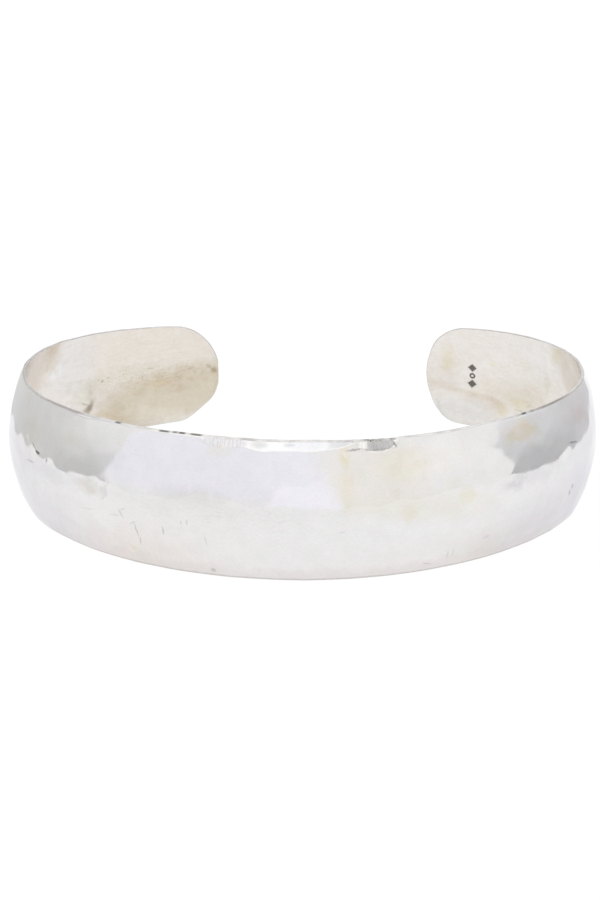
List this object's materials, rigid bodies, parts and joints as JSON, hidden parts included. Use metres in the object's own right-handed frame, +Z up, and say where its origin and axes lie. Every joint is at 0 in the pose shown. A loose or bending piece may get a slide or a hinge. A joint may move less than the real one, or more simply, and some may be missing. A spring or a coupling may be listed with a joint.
{
  "type": "open cuff bangle",
  "caption": "Open cuff bangle of hammered silver sheet, domed across its width and tapering to two rounded ends with a gap for the wrist.",
  "frame": {"origin": "under the middle of the cuff's box, on the surface that its lower rim rests on", "axes": "+X along the cuff's widest way across the wrist, +Y from the middle of the front towards the opening between the ends, +Z up across the band from its lower rim to its upper rim"},
  "size_m": [0.0632, 0.0504, 0.0152],
  "materials": {
    "silver": "silver, bright polished and hammered outside, satin with light tan tarnish inside"
  },
  "bodies": {
    "root": {"cuff_band": "silver"}
  },
  "joints": []
}
